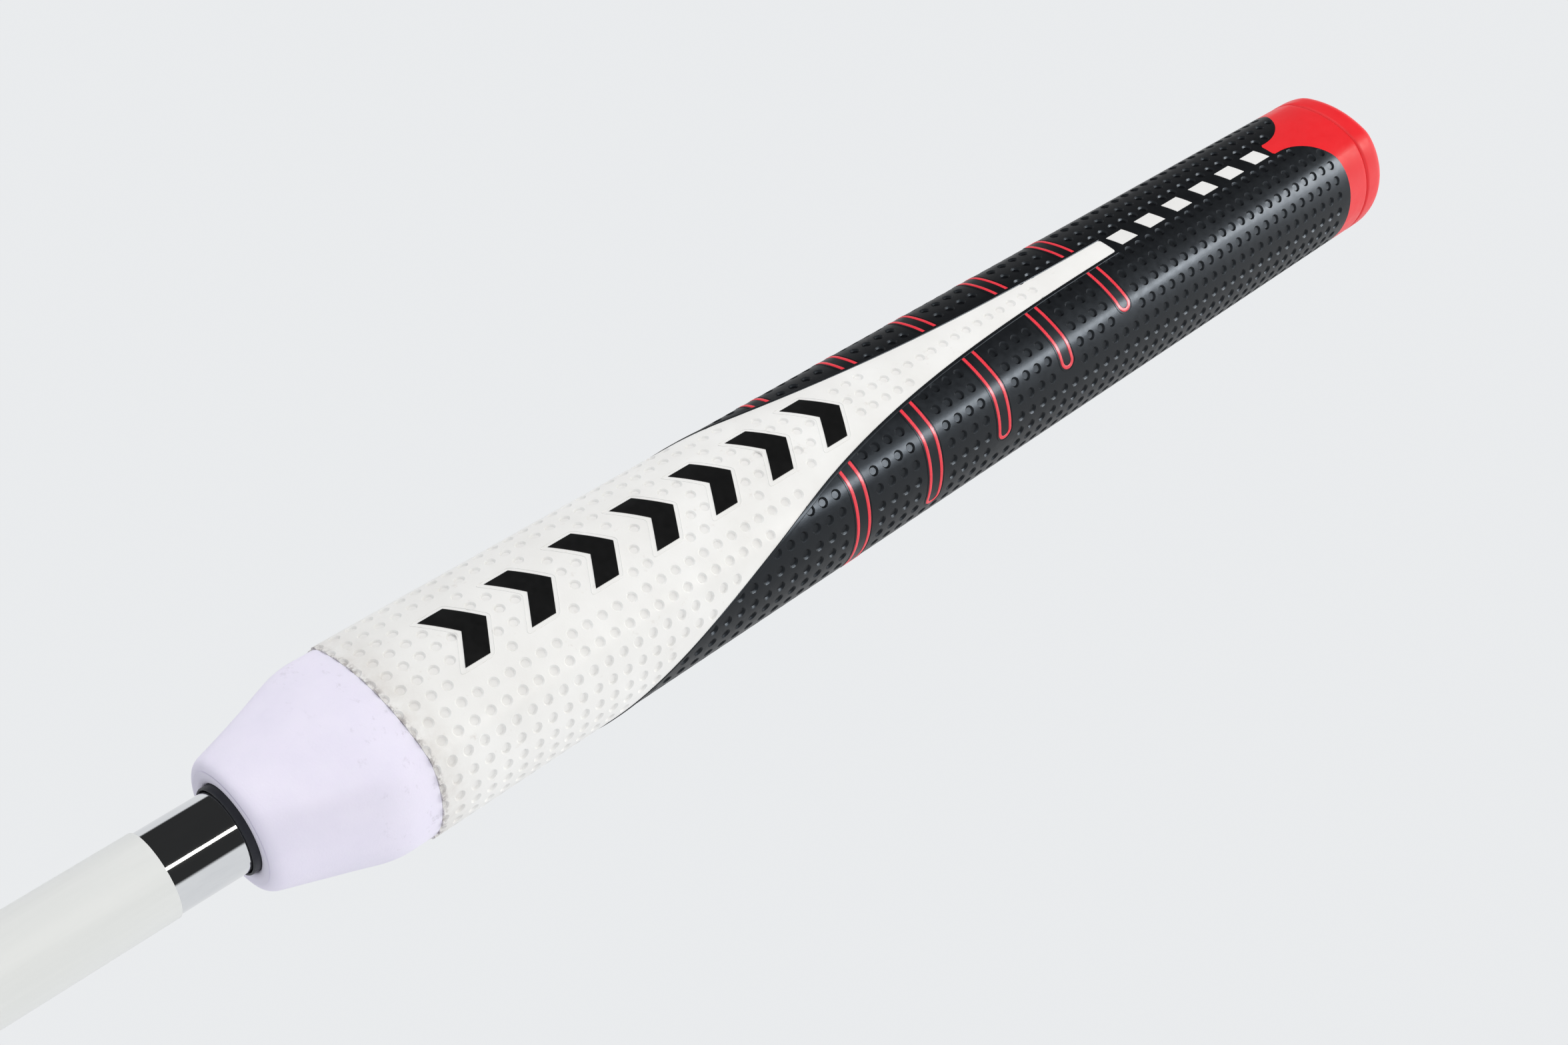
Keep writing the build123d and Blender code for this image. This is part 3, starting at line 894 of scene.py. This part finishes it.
white, white_faces = keep_where(skin, skin_faces, lambda p: -panel_side(p))
black, black_faces = keep_where(skin, skin_faces, panel_side)
black, black_faces = keep_where(
    black, black_faces, lambda p: -beyond_skirt(row_arc(p[:, 0], p[:, 1]), p[:, 1]))
white, white_faces = with_rim(white, white_faces, SKIN_TURN_IN)
black, black_faces = with_rim(black, black_faces, SKIN_TURN_IN)


def depth_of(points):
    return np.clip(-points[:, 2] / DIMPLE_DEPTH, 0, 1)


def halo(foot):
    """The raised line round a chevron, as a closed ribbon."""
    wide = CHEVRON_HALF_WIDTH + HALO_ASIDE
    drop = HALO_BEYOND + HALO_ASIDE * CHEVRON_SWEEP / CHEVRON_HALF_WIDTH
    lower = [(-wide, foot - drop), (0, foot + CHEVRON_SWEEP - HALO_BEYOND), (wide, foot - drop)]
    upper = [(arc, height + CHEVRON_BAND + 2 * HALO_BEYOND) for arc, height in lower[::-1]]
    return ribbon(rounded(lower + upper, 0.8), lip(HALO_WIDTH, HALO_HEIGHT), closed=True)


halos = [halo(foot) for foot in CHEVRON_FEET]
white_mesh = join([(skin_points(white), white_faces)] + halos)
panel = piece("white_skin_panel", white_mesh, looks["white_skin"], ["white_panel"],
              depth_of(white))
sharpen(panel, SKIN_CREASE)
set_normals(panel, land_normals(white))

beads = [ribbon(panel_path(), bead(RIDGE_WIDTH, RIDGE_HEIGHT, sink=0.4, aside=RIDGE_ASIDE))]
for side in (-1, 1):
    for number in range(len(BAR_ENDS)):
        beads.append(ribbon(bar_path(number, side, BAR_LIP_OFFSET), lip(BAR_LIP_WIDTH, BAR_LINE_HEIGHT)))
black_mesh = join([(skin_points(black), black_faces)] + beads)
shell = piece("black_skin_shell", black_mesh, looks["black_skin"], ["black_skin"],
              depth_of(black))
sharpen(shell, SKIN_CREASE)
set_normals(shell, land_normals(black))

glossy_rubber = [shell]
for side, word in ((-1, "left"), (1, "right")):
    for number in range(len(BAR_ENDS)):
        line = ribbon(bar_path(number, side), bead(BAR_LINE_WIDTH, BAR_LINE_HEIGHT))
        bar = piece(f"red_bar_{word}_{number + 1}", line, looks["red_inlay"],
                    [f"bar_outline_{word}_{number + 1}"])
        glossy_rubber.append(bar)

foam = piece("foam_nose_and_core", foam_mesh(), looks["foam"], ["foam_core"])
sharpen(foam, 50)

cap = piece("red_butt_cap", cap_mesh(), looks["red_rubber"], ["butt_cap"])
sharpen(cap, 50)

tip = MOUTH - LINER_PROUD
wall = LINER_RADIUS - LINER_BORE
liner_profile = [(LINER_BORE, MOUTH + CORE_TOP), (LINER_BORE, tip + 0.2), (LINER_BORE + 0.1, tip + 0.03),
                 (LINER_BORE + wall / 2, tip), (LINER_RADIUS - 0.1, tip + 0.05), (LINER_RADIUS, tip + 0.25),
                 (LINER_RADIUS, MOUTH + CORE_TOP)]
liner = piece("liner_ring", lathe(liner_profile), looks["liner_rubber"], ["core_liner"])
sharpen(liner, 60)

# ------------------------------------------------------------------ stage, light and camera
FLOOR_BELOW = 0.53  # where the sole of the putter would stand, in metres
FLOOR_HALF = 30.0  # half the floor's side, in metres


def floor_material():
    """A plain pale floor that gives back some light of its own, so it has no lamp marks."""
    material = bpy.data.materials.new("pale_floor")
    material.use_nodes = True
    shader = material.node_tree.nodes["Principled BSDF"]
    shader.inputs["Base Color"].default_value = (0.55, 0.56, 0.57, 1)
    shader.inputs["Roughness"].default_value = 0.9
    shader.inputs["Emission Color"].default_value = (0.97, 0.985, 1, 1)
    shader.inputs["Emission Strength"].default_value = 0.42
    return material


def flat_floor():
    mesh = bpy.data.meshes.new("floor")
    corners = ((-1, -1), (1, -1), (1, 1), (-1, 1))
    mesh.from_pydata([(FLOOR_HALF * x, FLOOR_HALF * y, 0) for x, y in corners], [], [(0, 1, 2, 3)])
    mesh.materials.append(floor_material())
    obj = bpy.data.objects.new("floor", mesh)
    obj.matrix_world = Matrix.Translation((0, 0, -FLOOR_BELOW))
    bpy.context.scene.collection.objects.link(obj)
    return obj


floor = flat_floor()

CAMERA_AT = np.array((0.19593, -0.28287, -0.04081))
CAMERA_UP = np.array((-0.54556, -0.71074, 0.44408))
CAMERA_BACK = np.array((0.46836, -0.69799, -0.54171))


def facing(at, back, up):
    """A matrix at a point, with +Z towards back, so that a lamp or camera looks the other way."""
    back = back / np.linalg.norm(back)
    right = np.cross(up, back)
    right /= np.linalg.norm(right)
    over = np.cross(back, right)
    return Matrix([[right[i], over[i], back[i], at[i]] for i in range(3)] + [[0, 0, 0, 1]])


camera_data = bpy.data.cameras.new("camera")
camera_data.lens = 50.0
camera_data.sensor_width = 36.0
camera_data.clip_start = 0.01
camera_data.clip_end = 100.0
camera = bpy.data.objects.new("camera", camera_data)
camera.matrix_world = facing(CAMERA_AT, CAMERA_BACK, CAMERA_UP)
bpy.context.scene.collection.objects.link(camera)
bpy.context.scene.camera = camera


def lamp(name, direction, distance, size, light, colour=(1, 1, 1)):
    """A soft panel in a direction from the middle of the grip, in metres.

    The light is what a white card facing the panel would reflect.
    """
    middle = np.array((0, 0, (MOUTH + GRIP_LENGTH / 2) * MM))
    way = np.array(direction) / np.linalg.norm(direction)
    data = bpy.data.lights.new(name, "AREA")
    data.shape = "RECTANGLE"
    data.size, data.size_y = size
    data.energy = light * math.pi**2 * distance**2
    data.color = colour
    obj = bpy.data.objects.new(name, data)
    obj.matrix_world = facing(middle + way * distance, way, np.array((0.1, 0.05, 0.99)))
    bpy.context.scene.collection.objects.link(obj)
    obj.light_linking.receiver_collection = not_the_floor
    return obj


not_the_floor = bpy.data.collections.new("not_the_floor")
not_the_floor.objects.link(floor)
not_the_floor.collection_objects[0].light_linking.link_state = "EXCLUDE"

lamp("key_strip", (0.54, -0.64, 0.54), 1.1, (0.14, 1.4), 0.36, colour=(1, 0.98, 0.90))
for name, direction, size, light in (("front_fill", (-0.45, -0.8, 0.3), 1.0, 0.72),
                                     ("end_fill", (0.45, 0.0, 0.9), 0.8, 0.50),
                                     ("side_fill", (0.85, -0.25, -0.4), 1.0, 0.30)):
    fill = lamp(name, direction, 1.2, (size, size), light)
    fill.visible_glossy = False

# a wider panel that only the black skin and the red bars reflect, for their soft highlight
sheen = lamp("sheen_panel", (0.58, -0.60, 0.54), 1.1, (0.3, 1.4), 2.4, colour=(0.93, 0.96, 1))
sheen.visible_diffuse = False
sheen_catchers = bpy.data.collections.new("sheen_catchers")
for catcher in glossy_rubber:
    sheen_catchers.objects.link(catcher)
sheen.light_linking.receiver_collection = sheen_catchers

EYE_COLOUR = (0.82, 0.835, 0.85, 1)  # the backdrop as the camera sees it
ROOM_COLOUR = (0.97, 0.985, 1.0, 1)  # the room as the surfaces see it
ROOM_FRONT, ROOM_BEHIND = 0.03, 0.80  # strength of the dim front and the bright rear
ROOM_EDGE = (-0.17, -0.03)  # Y of the directions between which one turns into the other


def studio_world():
    """Pale all round to the eye; to the surfaces a bright room behind and a dim one in front."""
    world = bpy.data.worlds.new("pale_studio")
    bpy.context.scene.world = world
    world.use_nodes = True
    tree = world.node_tree
    seen = tree.nodes["Background"]
    seen.inputs["Color"].default_value = EYE_COLOUR
    where = tree.nodes.new("ShaderNodeTexCoord").outputs["Generated"]
    split = tree.nodes.new("ShaderNodeSeparateXYZ")
    tree.links.new(where, split.inputs["Vector"])
    blend_in = tree.nodes.new("ShaderNodeMapRange")
    blend_in.interpolation_type = "SMOOTHSTEP"
    blend_in.inputs["From Min"].default_value = ROOM_EDGE[0]
    blend_in.inputs["From Max"].default_value = ROOM_EDGE[1]
    blend_in.inputs["To Min"].default_value = ROOM_FRONT
    blend_in.inputs["To Max"].default_value = ROOM_BEHIND
    tree.links.new(split.outputs["Y"], blend_in.inputs["Value"])
    lighting = tree.nodes.new("ShaderNodeBackground")
    lighting.inputs["Color"].default_value = ROOM_COLOUR
    tree.links.new(blend_in.outputs["Result"], lighting.inputs["Strength"])
    choose = tree.nodes.new("ShaderNodeMixShader")
    tree.links.new(tree.nodes.new("ShaderNodeLightPath").outputs["Is Camera Ray"], choose.inputs["Fac"])
    tree.links.new(lighting.outputs["Background"], choose.inputs[1])
    tree.links.new(seen.outputs["Background"], choose.inputs[2])
    tree.links.new(choose.outputs["Shader"], tree.nodes["World Output"].inputs["Surface"])


studio_world()

bpy.context.scene.view_settings.view_transform = "Standard"
